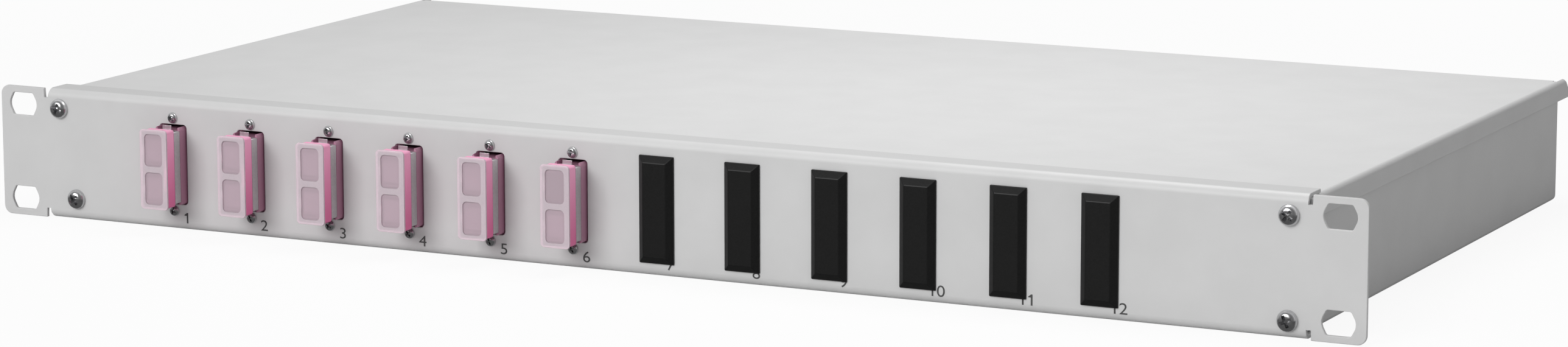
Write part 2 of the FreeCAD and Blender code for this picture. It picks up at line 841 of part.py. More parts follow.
def adapter_body(index):
    body = new_body(f"adapter_body_{index}")
    block = rectangle(s.adapter_width, s.adapter_height, corner=s.adapter_corner)
    pad(body, facing(body, adapter_front, block), neck_front - adapter_front, backward=True)
    neck = rectangle(s.neck_width, s.neck_height)
    pad(body, facing(body, neck_front, neck), neck_rear - neck_front, backward=True)
    shoulder = rectangle(s.adapter_width, s.shoulder_height, corner=s.shoulder_corner)
    pad(body, facing(body, neck_rear, shoulder), -1 * neck_rear, backward=True)
    rear = rectangle(s.adapter_width, s.rear_height, corner=s.adapter_corner)
    pad(body, facing(body, 0, rear), s.adapter_rear, backward=True)
    flange = rectangle(s.flange_width, s.flange_height, corner=s.flange_corner)
    flange_pad = facing(body, 0, flange)
    pad(body, flange_pad, s.flange_thickness, backward=True)
    holes = [circle(0, s.port_screw_pitch / 2 * k, s.port_screw_hole) for k in SIDES]
    pocket(body, facing(body, 0, *holes), s.flange_thickness)
    # A slot over the shoulder, above and below, where the ears of the band spring through the flange
    slot_low = s.shoulder_height / 2 - s.ear_slot_depth
    slot_top = s.port_height / 2
    ear_slots = [span(-1 * s.ear_slot_width / 2, slot_low * k, s.ear_slot_width / 2, slot_top * k)
                 for k in SIDES]
    pocket(body, facing(body, neck_rear, *ear_slots), s.flange_thickness - neck_rear)
    pocket(body, facing(body, adapter_front, *sockets(s.socket_width, s.socket_height)),
           wall_front - adapter_front)
    pocket(body, facing(body, wall_rear, *sockets(s.socket_width, s.socket_height)),
           s.adapter_rear - wall_rear)
    # A keyway in the left wall of each front socket
    key_side = -1 * (s.socket_width / 2 + s.keyway_depth)
    keyways = [span(key_side, s.socket_pitch / 2 * k - s.keyway_width / 2,
                    0, s.socket_pitch / 2 * k + s.keyway_width / 2) for k in SIDES]
    pocket(body, facing(body, adapter_front, *keyways), neck_front - adapter_front)
    holders = [circle(0, s.socket_pitch / 2 * k, holder_radius) for k in SIDES]
    pad(body, facing(body, sleeve_start, *holders), s.sleeve_length, backward=True)
    bores = [circle(0, s.socket_pitch / 2 * k, holder_bore) for k in SIDES]
    pocket(body, facing(body, sleeve_start, *bores), s.sleeve_length)
    place(body, port_place(index))
    return keep(body)


def adapter_clip(index):
    # Steel band round the neck, split at one side, with an upright ear above and below.
    body = new_body(f"adapter_clip_{index}")
    start = neck_front + s.clip_side_gap
    length = neck_rear - neck_front - 2 * s.clip_side_gap
    inner_width = s.neck_width + 2 * s.fit_gap
    inner_height = s.neck_height + 2 * s.fit_gap
    outer = rectangle(inner_width + 2 * s.clip_sheet, inner_height + 2 * s.clip_sheet,
                      corner=s.clip_sheet + s.fit_gap)
    inner = rectangle(inner_width, inner_height)
    pad(body, facing(body, start, outer, inner), length, backward=True)
    ear_low = inner_height / 2
    ear_top = ear_low + s.clip_sheet + s.clip_ear_rise
    ears = [span(-1 * s.clip_ear_width / 2, ear_low * k, s.clip_ear_width / 2, ear_top * k) for k in SIDES]
    pad(body, facing(body, start + length, *ears), s.clip_sheet)
    split = rectangle(4 * s.clip_sheet, s.clip_split, -1 * inner_width / 2, 0)
    pocket(body, facing(body, start, split), length)
    place(body, port_place(index))
    return keep(body)


def adapter_sleeves(index):
    # Split ceramic sleeves that line up the ferrules.
    sleeves = []
    for side in SIDES:
        sleeve = turned("sleeve", span(s.sleeve_bore, 0, sleeve_radius, s.sleeve_length),
                        360 - s.sleeve_slit_angle)
        place(sleeve, port_place(index), sleeve_start, s.socket_pitch / 2 * side)
        sleeves.append(sleeve)
    keep_group(f"adapter_sleeves_{index}", sleeves)


def dust_cap(label, index, seat, rearward):
    # One moulded cap for both sockets: a face plate with two sunk panels, and two hollow plugs.
    body = new_body(label)
    plate = rectangle(s.cap_width, s.cap_height, corner=s.cap_corner)
    plug_width = s.socket_width - 2 * s.cap_plug_gap
    plug_height = s.socket_height - 2 * s.cap_plug_gap
    pad(body, facing(body, 0, plate), s.cap_thickness)
    panels = sockets(s.cap_panel_width, s.cap_panel_height, s.cap_panel_corner)
    pocket(body, facing(body, -1 * s.cap_thickness, *panels), s.cap_panel_depth)
    hollow = sockets(plug_width - 2 * s.cap_plug_wall, plug_height - 2 * s.cap_plug_wall)
    plugs = facing(body, 0, *sockets(plug_width, plug_height), *hollow)
    pad(body, plugs, s.cap_plug_length, backward=True)
    place(body, port_place(index), seat)
    if rearward:
        body.Placement.Rotation = FreeCAD.Rotation(ALONG_Z, 180)
    return keep(body)


def adapter_fasteners():
    screws, nuts = [], []
    for index in range(1, ADAPTER_COUNT + 1):
        for side in SIDES:
            up = s.port_screw_pitch / 2 * side
            screw = pan_screw("port_screw", s.port_head_radius, s.port_head_height,
                              s.port_screw_radius, s.port_screw_length)
            place(screw, port_place(index), panel_front, up)
            screws.append(screw)
            nut = hex_nut("port_nut", s.port_nut_radius, s.port_screw_radius + s.thread_gap,
                          s.port_nut_height)
            place(nut, port_place(index), s.flange_thickness, up)
            nuts.append(nut)
    keep_group("adapter_screws", screws)
    keep_group("adapter_nuts", nuts)


# Blanking plugs of the free ports

def blank_plug(index):
    # Bevelled face over the port, and a hollow plug with a barb on each long side.
    body = new_body(f"blank_plug_{index}")
    rise = s.blank_rim + s.blank_bevel_rise
    pad(body, facing(body, 0, rectangle(s.blank_width, s.blank_height)), s.blank_rim)
    loft = body.newObject("PartDesign::AdditiveLoft", "bevel")
    top_width = s.blank_width - 2 * s.blank_bevel
    top_height = s.blank_height - 2 * s.blank_bevel
    loft.Profile = facing(body, -1 * s.blank_rim, rectangle(s.blank_width, s.blank_height))
    loft.Sections = [facing(body, -1 * rise, rectangle(top_width, top_height))]
    plug_width = s.port_width - 2 * s.blank_plug_gap
    hollow = rectangle(plug_width - 2 * s.blank_plug_wall, s.blank_plug_height - 2 * s.blank_plug_wall)
    plug = facing(body, 0, rectangle(plug_width, s.blank_plug_height), hollow)
    pad(body, plug, s.blank_plug_depth, backward=True)
    catch = s.panel_sheet + s.fit_gap
    for side in SIDES:
        wall = plug_width / 2 * side
        barb = [
            (wall - s.blank_plug_wall / 2 * side, catch),
            (wall + s.barb_reach * side, catch),
            (wall, catch + s.barb_length),
            (wall - s.blank_plug_wall / 2 * side, catch + s.barb_length),
        ]
        pad(body, plan(body, 0, barb), s.barb_height, both=True)
    place(body, port_place(index), panel_front, -1 * s.blank_drop)
    return keep(body)


# Splice tray inside

def splice_tray():
    body = new_body("splice_tray")
    outer = rectangle(s.splice_width, s.splice_depth, 0, splice_place, s.splice_corner)
    pad(body, plan(body, splice_bottom, outer), s.splice_height)
    inner = rectangle(s.splice_width - 2 * s.splice_wall, s.splice_depth - 2 * s.splice_wall,
                      0, splice_place, s.splice_corner - s.splice_wall)
    pocket(body, plan(body, splice_top, inner), s.splice_height - s.splice_wall)
    wall_middle = splice_place - s.splice_depth / 2 + s.splice_wall / 2
    entry_across = s.splice_width / 2 - s.splice_entry_inset
    entries = [rectangle(s.splice_entry_width, 2 * s.splice_wall, entry_across * side, wall_middle)
               for side in SIDES]
    pocket(body, plan(body, splice_top, *entries), s.splice_height - s.splice_wall)
    holes = [circle(stud_across * side, splice_place, tray_stud_hole) for side in SIDES]
    pocket(body, plan(body, splice_floor, *holes), s.splice_wall)
    keep(body)
    lid = new_body("splice_tray_lid")
    holes = [circle(stud_across * side, splice_place, tray_stud_hole) for side in SIDES]
    pad(lid, plan(lid, splice_top, outer, *holes), s.lid_thickness)
    keep(lid)


def upright(label, profile, across, back, up):
    # A turned piece stood on end.
    body = turned(label, profile)
    place(body, across, back, up)
    body.Placement.Rotation = FreeCAD.Rotation(ALONG_X, 90)
    return body


def splice_studs():
    studs, knobs = [], []
    stud_height = lid_top - floor_top + s.stud_above_lid
    for side in SIDES:
        across = stud_across * side
        profile = [
            (0, 0),
            (s.stud_collar_radius, 0),
            (s.stud_collar_radius, s.stud_collar_height),
            (s.stud_radius, s.stud_collar_height),
            (s.stud_radius, stud_height),
            (0, stud_height),
        ]
        studs.append(upright("tray_stud", profile, across, splice_place, floor_top))
        bore = s.stud_radius + s.thread_gap
        nut = span(bore, 0, s.knob_radius, s.knob_height)
        knobs.append(upright("tray_nut", nut, across, splice_place, lid_top))
    keep_group("tray_studs", studs)
    keep_group("tray_nuts", knobs)


def splice_holders():
    combs = []
    for side in SIDES:
        body = new_body("splice_comb")
        across = s.holder_place * side
        base = rectangle(s.holder_width, s.holder_length, across, splice_place)
        pad(body, plan(body, splice_floor, base), s.holder_base)
        first = splice_place - s.holder_rib_pitch * (SPLICE_RIBS - 1) / 2
        sketch = plan(body, splice_floor, rectangle(s.holder_width, s.holder_rib, across, first))
        rib = pad(body, sketch, s.holder_height)
        row(body, rib, sketch, "V_Axis", s.holder_rib_pitch, SPLICE_RIBS)
        combs.append(body)
    keep_group("splice_holders", combs)


# Rear wall and floor fittings

def entry_plugs():
    number = 0
    ring_outside = s.plug_ring_radius + s.plug_ring_width / 2
    ring_inside = s.plug_ring_radius - s.plug_ring_width / 2
    ring_bottom = s.plug_rim_thickness - s.plug_ring_depth
    for side in SIDES:
        for step in ENTRY_STEPS:
            number += 1
            body_radius = s.entry_radius - s.fit_gap
            profile = [
                (0, 0),
                (s.plug_rim_radius, 0),
                (s.plug_rim_radius, s.plug_rim_thickness, s.plug_rim_thickness * s.rim_round_share),
                (ring_outside, s.plug_rim_thickness),
                (ring_outside, ring_bottom),
                (ring_inside, ring_bottom),
                (ring_inside, s.plug_rim_thickness),
                (0, s.plug_rim_thickness),
            ]
            body = turned(f"entry_plug_{number}", profile)
            sketch = facing(body, 0, circle(0, 0, body_radius), circle(0, 0, body_radius - s.plug_wall))
            pad(body, sketch, s.plug_depth)
            place(body, entry_place(step) * side, rear_wall_back, s.entry_up)
            keep(body)


def earth_point():
    bolt = new_body("earth_bolt")
    pad(bolt, facing(bolt, 0, hexagon(s.earth_head_radius)), s.earth_head_height)
    pad(bolt, facing(bolt, 0, circle(0, 0, s.earth_radius)), s.earth_length, backward=True)
    place(bolt, s.earth_place, rear_wall_front, s.earth_up)
    keep(bolt)
    nut = hex_nut("earth_nut", s.earth_nut_radius, s.earth_radius + s.thread_gap, s.earth_nut_height)
    place(nut, s.earth_place, rear_wall_back, s.earth_up)
    keep(nut)


def tie_bracket():
    body = new_body("tie_bracket")
    foot_front = bracket_place - s.bracket_foot / 2
    foot_back = bracket_place + s.bracket_foot / 2
    angle = [
        (foot_front, floor_top),
        (foot_back, floor_top),
        (foot_back, floor_top + s.bracket_sheet),
        (foot_front + s.bracket_sheet, floor_top + s.bracket_sheet),
        (foot_front + s.bracket_sheet, floor_top + s.bracket_height),
        (foot_front, floor_top + s.bracket_height),
    ]
    folded = pad(body, section(body, 0, angle), s.bracket_length, both=True)
    round_edges(body, folded, s.bracket_bend, ALONG_X,
                lambda p: near(p.y, foot_front) and near(p.z, floor_top))
    first = s.bracket_slot_pitch * (1 - BRACKET_SLOTS) / 2
    slot_up = floor_top + s.bracket_height - s.bracket_slot_down
    sketch = facing(body, foot_front, rectangle(s.bracket_slot_length, s.bracket_slot_height, first, slot_up))
    cut = pocket(body, sketch, s.bracket_sheet)
    row(body, cut, sketch, "H_Axis", s.bracket_slot_pitch, BRACKET_SLOTS)
    holes = [circle(s.rivet_pitch / 2 * side, bracket_place, rivet_hole) for side in SIDES]
    pocket(body, plan(body, floor_top + s.bracket_sheet, *holes), s.bracket_sheet)
    keep(body)
    rivets = []
    for side in SIDES:
        low = -1 * (s.tray_sheet + s.bracket_sheet)
        profile = [
            (0, low),
            (s.rivet_radius, low),
            (s.rivet_radius, 0),
            (s.rivet_head_radius, 0),
            (s.rivet_head_radius, s.rivet_head_height, s.rivet_head_height * s.rim_round_share),
            (0, s.rivet_head_height),
        ]
        rivets.append(upright("rivet", profile, s.rivet_pitch / 2 * side, bracket_place,
                              floor_top + s.bracket_sheet))
    keep_group("tie_rivets", rivets)


def fibre_clips():
    # Open loops stuck to the floor that guide the fibres round the tray.
    clips = []
    for side in SIDES:
        for back in (s.clip_loop_near, s.tray_depth - s.clip_loop_rear_inset):
            body = new_body("fibre_clip")
            half = s.clip_loop_width / 2
            mouth = s.clip_loop_mouth / 2
            top = s.clip_loop_height
            wall = s.clip_loop_wall
            loop = [
                (-half, 0), (half, 0), (half, top), (mouth, top), (mouth, top - wall),
                (half - wall, top - wall), (half - wall, wall), (wall - half, wall),
                (wall - half, top - wall), (-mouth, top - wall), (-mouth, top), (-half, top),
            ]
            pad(body, facing(body, 0, loop), s.clip_loop_length, both=True)
            place(body, (half_tray - s.clip_loop_side_inset) * side, back, floor_top)
            clips.append(body)
    keep_group("fibre_clips", clips)


front_panel()
chassis_tray()
top_cover()
case_fasteners()
for port in range(1, ADAPTER_COUNT + 1):
    adapter_body(port)
    adapter_clip(port)
    adapter_sleeves(port)
    dust_cap(f"dust_cap_{port}", port, adapter_front, rearward=False)
    dust_cap(f"rear_cap_{port}", port, s.adapter_rear, rearward=True)
adapter_fasteners()
for port in range(ADAPTER_COUNT + 1, PORT_COUNT + 1):
    blank_plug(port)
splice_tray()
splice_studs()
splice_holders()
entry_plugs()
earth_point()
tie_bracket()
fibre_clips()
doc.recompute()

faults = [item.Label for item in doc.Objects if {"Invalid", "Error"} & set(item.State)]
faults += [label for label, body in nodes.items() if body.Shape.isNull() or not body.Shape.isValid()]
if faults:
    raise RuntimeError("these pieces failed: " + ", ".join(faults))
os.makedirs("parts", exist_ok=True)
for label, body in nodes.items():
    body.Shape.exportStep(f"parts/{label}.step")
    box = body.Shape.BoundBox
    print(label, len(body.Shape.Solids), f"{box.XLength:.2f} {box.YLength:.2f} {box.ZLength:.2f}")
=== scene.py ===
import bmesh
import bpy
import json
import math
from mathutils import Matrix, Vector
from mathutils.geometry import intersect_point_line

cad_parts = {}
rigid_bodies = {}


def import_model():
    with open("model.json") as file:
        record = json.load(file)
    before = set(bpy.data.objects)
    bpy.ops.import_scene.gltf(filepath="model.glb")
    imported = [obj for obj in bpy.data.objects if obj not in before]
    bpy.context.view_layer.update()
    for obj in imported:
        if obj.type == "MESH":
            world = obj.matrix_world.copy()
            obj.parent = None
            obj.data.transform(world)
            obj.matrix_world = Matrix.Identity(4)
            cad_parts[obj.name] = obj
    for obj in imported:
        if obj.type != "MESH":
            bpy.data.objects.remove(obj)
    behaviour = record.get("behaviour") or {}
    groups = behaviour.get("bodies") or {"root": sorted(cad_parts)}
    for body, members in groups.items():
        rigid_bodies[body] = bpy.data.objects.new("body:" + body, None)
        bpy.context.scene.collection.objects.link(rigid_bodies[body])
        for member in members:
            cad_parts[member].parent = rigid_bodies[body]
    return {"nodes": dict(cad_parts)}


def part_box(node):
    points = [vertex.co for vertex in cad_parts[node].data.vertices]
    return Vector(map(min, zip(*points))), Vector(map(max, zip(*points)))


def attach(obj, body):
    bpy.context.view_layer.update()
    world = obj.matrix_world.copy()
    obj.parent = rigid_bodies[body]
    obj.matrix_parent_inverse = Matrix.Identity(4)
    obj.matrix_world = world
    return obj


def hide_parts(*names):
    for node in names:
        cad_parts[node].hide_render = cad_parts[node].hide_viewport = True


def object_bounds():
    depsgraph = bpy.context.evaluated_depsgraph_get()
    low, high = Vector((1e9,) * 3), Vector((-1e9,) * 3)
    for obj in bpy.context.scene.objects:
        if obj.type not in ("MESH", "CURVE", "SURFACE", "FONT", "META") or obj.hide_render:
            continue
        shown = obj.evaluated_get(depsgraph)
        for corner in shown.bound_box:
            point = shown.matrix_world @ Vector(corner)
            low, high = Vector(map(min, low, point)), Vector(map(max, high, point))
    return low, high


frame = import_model()
nodes = frame["nodes"]
cadLow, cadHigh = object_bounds()
mm = 0.001  # in metres
print("frame loaded:", len(nodes), "nodes")


# Working tools

def deselectAll():
    active = bpy.context.view_layer.objects.active
    if active and active.mode != "OBJECT":
        leaveEdit()
    bpy.ops.object.select_all(action="DESELECT")


def activate(piece):
    deselectAll()
    piece.select_set(True)
    bpy.context.view_layer.objects.active = piece


def enterEdit():
    bpy.ops.object.mode_set(mode="EDIT")


def leaveEdit():
    bpy.ops.object.mode_set(mode="OBJECT")


def pick(piece, kind, test):
    # leaves the piece in edit mode with the wanted faces or edges selected
    activate(piece)
    enterEdit()
    bpy.ops.mesh.select_mode(type=kind)
    bpy.ops.mesh.select_all(action="DESELECT")
    leaveEdit()
    items = piece.data.polygons if kind == "FACE" else piece.data.edges
    for item in items:
        item.select = test(item)
    enterEdit()


def pickFaces(piece, test):
    pick(piece, "FACE", lambda face: test(face.normal))


def pickEdges(piece, test):
    pick(piece, "EDGE", lambda edge: test(*(piece.data.vertices[i].co for i in edge.vertices)))


def applyAll(piece):
    activate(piece)
    for modifier in list(piece.modifiers):
        bpy.ops.object.modifier_apply(modifier=modifier.name)


def smooth(piece, angle):
    activate(piece)
    bpy.ops.object.shade_smooth_by_angle(angle=math.radians(angle))


def paint(piece, material):
    piece.data.materials.clear()
    piece.data.materials.append(material)


def joinPieces(pieces, label):
    deselectAll()
    for piece in pieces:
        piece.select_set(True)
    bpy.context.view_layer.objects.active = pieces[0]
    bpy.ops.object.join()
    joined = bpy.context.view_layer.objects.active
    joined.name = label
    joined.data.name = label
    return joined


def copyAt(piece, place):
    # a copy with its own mesh, with the place in the mesh
    twin = piece.copy()
    twin.data = piece.data.copy()
    twin.data.transform(place)
    bpy.context.scene.collection.objects.link(twin)
    return twin


def addBlock(width, depth, height, place):
    # a box of the given size, with its middle at the place
    deselectAll()
    bpy.ops.mesh.primitive_cube_add(size=1, location=place)
    block = bpy.context.object
    block.scale = (width, depth, height)
    bpy.ops.object.transform_apply(location=True, rotation=True, scale=True)
    return block


def combine(piece, tool, operation):
    # the piece joined with the tool or cut by it
    activate(piece)
    bpy.ops.object.modifier_add(type="BOOLEAN")
    modifier = piece.modifiers[-1]
    modifier.operation = operation
    modifier.solver = "EXACT"
    modifier.object = tool
    applyAll(piece)
    bpy.data.objects.remove(tool)


seamWork = dict(merge=0.002 * mm, flat=0.3)  # flat in degrees


def closeSeams(piece):
    # one closed mesh with plain flat faces
    activate(piece)
    enterEdit()
    bpy.ops.mesh.select_all(action="SELECT")
    bpy.ops.mesh.remove_doubles(threshold=seamWork["merge"])
    bpy.ops.mesh.dissolve_limited(angle_limit=math.radians(seamWork["flat"]))
    leaveEdit()


def closedCopy(nodeName, label):
    # a closed copy of the node's loose triangles
    piece = bpy.data.objects.new(label, nodes[nodeName].data.copy())
    bpy.context.scene.collection.objects.link(piece)
    activate(piece)
    bpy.ops.mesh.customdata_custom_splitnormals_clear()
    closeSeams(piece)
    return piece


# Rounding of edges: angles in degrees, and for each try the room left round a fold, in bevel widths

roundWork = dict(segments=2, sharp=35, fold=150, soft=50, room=(4, 6, 9, 9))


def sharpEdges(piece, angle):
    # ends of each edge whose two faces meet at more than the angle
    shell = bmesh.new()
    shell.from_mesh(piece.data)
    found = {}
    for edge in shell.edges:
        if len(edge.link_faces) == 2 and edge.calc_face_angle(0) > math.radians(angle):
            found[edge.index] = tuple(vertex.co.copy() for vertex in edge.verts)
    shell.free()
    return found


def halfway(ends):
    return (ends[0] + ends[1]) / 2


def clearance(spot, ends):
    # distance from a spot to the nearest point of an edge
    share = intersect_point_line(spot, *ends)[1]
    return (ends[0].lerp(ends[1], min(max(share, 0), 1)) - spot).length


def roundEdges(piece, width, segments, angle, wanted):
    # small radius on the wanted sharp edges; the few tight corners that would fold stay sharp
    plain = piece.data.copy()
    spared, stubborn, best, fewest = [], [], None, None
    for room in roundWork["room"]:
        piece.data = plain.copy()
        sharp = sharpEdges(piece, angle)
        kept = {index for index, ends in sharp.items()
                if (wanted is None or wanted(halfway(ends)))
                and all((halfway(ends) - fold).length > room * width for fold in spared)
                and all(clearance(fold, ends) > room * width for fold in stubborn)}
        pick(piece, "EDGE", lambda edge: edge.index in kept)
        bpy.ops.mesh.bevel(offset=width, segments=segments, clamp_overlap=False, loop_slide=False,
                           miter_outer="ARC")
        leaveEdit()
        folds = [halfway(ends) for ends in sharpEdges(piece, roundWork["fold"]).values()]
        if fewest is None or len(folds) < fewest:
            best, fewest = piece.data, len(folds)
        if not folds:
            break
        spared += folds
        if room == roundWork["room"][-1]:
            stubborn = folds  # the last try also spares long edges that only end at a fold
    piece.data = best
    print("   rounded", piece.name, "with", fewest, "folds")


def evenShading(piece):
    # flat faces stay flat, and the small radii run softly between them
    smooth(piece, roundWork["soft"])
    bpy.ops.object.modifier_add(type="WEIGHTED_NORMAL")
    piece.modifiers[-1].keep_sharp = True
    applyAll(piece)


def dress(nodeName, body, material, edge, segments=roundWork["segments"],
          angle=roundWork["sharp"], wanted=None):
    # a copy of the node with rounded edges, in the node's place
    piece = closedCopy(nodeName, nodeName + "_dressed")
    roundEdges(piece, edge, segments, angle, wanted)
    evenShading(piece)
    paint(piece, material)
    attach(piece, body)
    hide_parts(nodeName)


# Nodes for materials

def newMaterial(label):
    material = bpy.data.materials.new(label)
    material.use_nodes = True
    tree = material.node_tree
    return material, tree, tree.nodes["Principled BSDF"]


def addNode(tree, kind, **values):
    node = tree.nodes.new(kind)
    for name, value in values.items():
        if name in node.inputs:
            node.inputs[name].default_value = value
        else:
            setattr(node, name, value)
    return node


def remap(tree, source, taken=(0, 1), given=(0, 1), curve="LINEAR"):
    # carries a span of values over to another span
    node = addNode(tree, "ShaderNodeMapRange", interpolation_type=curve)
    node.inputs["From Min"].default_value, node.inputs["From Max"].default_value = taken
    node.inputs["To Min"].default_value, node.inputs["To Max"].default_value = given
    tree.links.new(source, node.inputs["Value"])
    return node.outputs["Result"]


def grain(tree, scale, detail):
    # noise in the object's own metres
    where = addNode(tree, "ShaderNodeTexCoord")
    noise = addNode(tree, "ShaderNodeTexNoise", Scale=scale, Detail=detail)
    tree.links.new(where.outputs["Object"], noise.inputs["Vector"])
    return noise.outputs["Fac"]


def along(tree, axis, span):
    # nought to one along one of the object's own axes
    where = addNode(tree, "ShaderNodeTexCoord")
    parts = addNode(tree, "ShaderNodeSeparateXYZ")
    tree.links.new(where.outputs["Object"], parts.inputs["Vector"])
    return remap(tree, parts.outputs[axis], taken=span)


shadeStops = (0.3, 0.7)  # where on the noise the darker and the lighter shade begin


def shades(tree, source, low, high):
    # colour between two shades along a pattern
    ramp = addNode(tree, "ShaderNodeValToRGB")
    for stop, place, colour in zip(ramp.color_ramp.elements, shadeStops, (low, high)):
        stop.position = place
        stop.color = (*colour, 1)
    tree.links.new(source, ramp.inputs["Fac"])
    return ramp.outputs["Color"]


mixSockets = dict(first=6, second=7, result=2)  # the colour ones, as a Mix node has several of each name


def blend(tree, share, first, second):
    # mixes two colours, each a plain one or the output of another node
    mix = addNode(tree, "ShaderNodeMix", data_type="RGBA")
    tree.links.new(share, mix.inputs["Factor"])
    for name, colour in (("first", first), ("second", second)):
        socket = mix.inputs[mixSockets[name]]
        if isinstance(colour, tuple):
            socket.default_value = (*colour, 1)
        else:
            tree.links.new(colour, socket)
    return mix.outputs[mixSockets["result"]]


def bump(tree, shader, source, look):
    node = addNode(tree, "ShaderNodeBump", Strength=look["strength"], Distance=look["depth"])
    tree.links.new(source, node.inputs["Height"])
    tree.links.new(node.outputs["Normal"], shader.inputs["Normal"])


def finishSurface(tree, shader, colour, pattern, look):
    # colour, and roughness and relief along the same pattern
    tree.links.new(colour, shader.inputs["Base Color"])
    tree.links.new(remap(tree, pattern, given=look["roughness"]), shader.inputs["Roughness"])
    bump(tree, shader, pattern, look)


def grey(level):
    return level, level, level


# Powder coat, with painted shade: a slightly darker upper face on the panel's flange

coatLook = dict(light=grey(0.60), dark=grey(0.575), cloud=60, cloudDetail=4, flange=grey(0.50),
                flangeRise=(21.6 * mm, 21.8 * mm), peel=1400, peelDetail=2,
                roughness=(0.40, 0.50), strength=0.12, depth=0.05 * mm)


def makePowderCoat():
    material, tree, shader = newMaterial("powderCoat")
    noise = grain(tree, coatLook["cloud"], coatLook["cloudDetail"])
    cloud = shades(tree, noise, coatLook["dark"], coatLook["light"])
    # painted shade: the upper face of the panel's flange gets a darker coat colour
    colour = blend(tree, along(tree, "Z", coatLook["flangeRise"]), cloud, coatLook["flange"])
    finishSurface(tree, shader, colour, grain(tree, coatLook["peel"], coatLook["peelDetail"]), coatLook)
    return material


# Metals and moulded plastics: what a call leaves out comes from the common look

metalLook = dict(scale=900, detail=5, strength=0.15, depth=0.01 * mm)
plasticLook = dict(scale=2500, detail=2, strength=0.2, depth=0.02 * mm, gloss=0.5)


def makeMetal(label, **own):
    look = {**metalLook, **own}
    material, tree, shader = newMaterial(label)
    shader.inputs["Metallic"].default_value = 1.0
    streak = grain(tree, look["scale"], look["detail"])
    finishSurface(tree, shader, shades(tree, streak, look["dark"], look["light"]), streak, look)
    return material


def makePlastic(label, **own):
    look = {**plasticLook, **own}
    material, tree, shader = newMaterial(label)
    shader.inputs["Specular IOR Level"].default_value = look["gloss"]
    stipple = grain(tree, look["scale"], look["detail"])
    finishSurface(tree, shader, shades(tree, stipple, look["dark"], look["light"]), stipple, look)
    return material


# Adapter plastic, with a painted highlight paler at the top of the front block and painted shade deeper
# towards the panel

heatherLook = dict(top=(0.88, 0.36, 0.56), low=(0.72, 0.145, 0.34), shadeNearPanel=(0.41, 0.195, 0.285),
                   rise=(-11 * mm, 11 * mm), inward=(-7.9 * mm, -4.4 * mm), roughness=(0.34, 0.46))


def makeHeather():
    material, tree, shader = newMaterial("heatherPlastic")
    # painted light: the front block is paler at the top and darker at the bottom
    front = blend(tree, along(tree, "Z", heatherLook["rise"]), heatherLook["low"], heatherLook["top"])
    # painted shade: the colour darkens towards the panel
    whole = blend(tree, along(tree, "Y", heatherLook["inward"]), front, heatherLook["shadeNearPanel"])
    stipple = grain(tree, plasticLook["scale"], plasticLook["detail"])
    finishSurface(tree, shader, whole, stipple, {**plasticLook, **heatherLook})
    return material


# Frosted plastic: a cap's thin windows lie deeper than its frame and are darker as painted shade

frostLook = dict(scale=1600, detail=3, roughness=(0.42, 0.56), strength=0.2, depth=0.02 * mm,
                 bending=1.45)
capLook = dict(light=(0.99, 0.85, 0.92), dark=(0.95, 0.81, 0.88), through=0.45,
               window=(0.745, 0.59, 0.665), windowDepth=(-13.2 * mm, -12.8 * mm))
lidLook = dict(light=(0.86, 0.88, 0.89), dark=(0.82, 0.84, 0.85), through=0.7)


def makeFrosted(label, look):
    material, tree, shader = newMaterial(label)
    haze = grain(tree, frostLook["scale"], frostLook["detail"])
    colour = shades(tree, haze, look["dark"], look["light"])
    if "window" in look:
        # painted shade: the windows behind the frame get a darker colour
        colour = blend(tree, along(tree, "Y", look["windowDepth"]), colour, look["window"])
    shader.inputs["Transmission Weight"].default_value = look["through"]
    shader.inputs["IOR"].default_value = frostLook["bending"]
    finishSurface(tree, shader, colour, haze, frostLook)
    return material


coat = makePowderCoat()
brightZinc = makeMetal("brightZinc", light=(0.66, 0.66, 0.67), dark=(0.54, 0.54, 0.55),
                       roughness=(0.17, 0.28))
dullZinc = makeMetal("dullZinc", light=grey(0.60), dark=(0.48, 0.48, 0.49), roughness=(0.35, 0.5))
springSteel = makeMetal("springSteel", light=(0.64, 0.61, 0.63), dark=(0.56, 0.53, 0.55),
                        roughness=(0.30, 0.42), scale=1500)
plainBrass = makeMetal("plainBrass", light=(0.75, 0.60, 0.32), dark=(0.62, 0.48, 0.24),
                       roughness=(0.25, 0.4))
heatherPlastic = makeHeather()
blackPlastic = makePlastic("blackPlastic", light=grey(0.0105), dark=grey(0.008), roughness=(0.34, 0.44),
                           scale=1800, depth=0.03 * mm, strength=0.35, gloss=0.24)
greyPlastic = makePlastic("greyPlastic", light=(0.32, 0.32, 0.33), dark=(0.27, 0.27, 0.28),
                          roughness=(0.4, 0.5))
whiteCeramic = makePlastic("whiteCeramic", light=(0.90, 0.89, 0.86), dark=(0.86, 0.85, 0.82),
                           roughness=(0.2, 0.3))
numberInk = makePlastic("numberInk", light=grey(0.075), dark=grey(0.06), roughness=(0.5, 0.6))
frostedCap = makeFrosted("frostedCap", capLook)
clearLid = makeFrosted("clearLid", lidLook)
print("materials made")


# Folded sheet: front panel, tray and cover

sheetWork = dict(edge=0.28 * mm, segments=3, spareAcross=(0, 165 * mm), spareRise=(14 * mm, 17 * mm))


def offSpareHoles(spot):
    # the screw holes behind the blanking plugs keep their plain rims
    left, right = sheetWork["spareAcross"]
    low, high = sheetWork["spareRise"]
    return not (left < spot.x < right and low < abs(spot.z) < high)


for nodeName, wanted in (("front_panel", offSpareHoles), ("chassis_tray", None), ("top_cover", None)):
    dress(nodeName, "case", coat, sheetWork["edge"], sheetWork["segments"], wanted=wanted)
print("folded sheet done")


# Duplex adapters, clips and caps

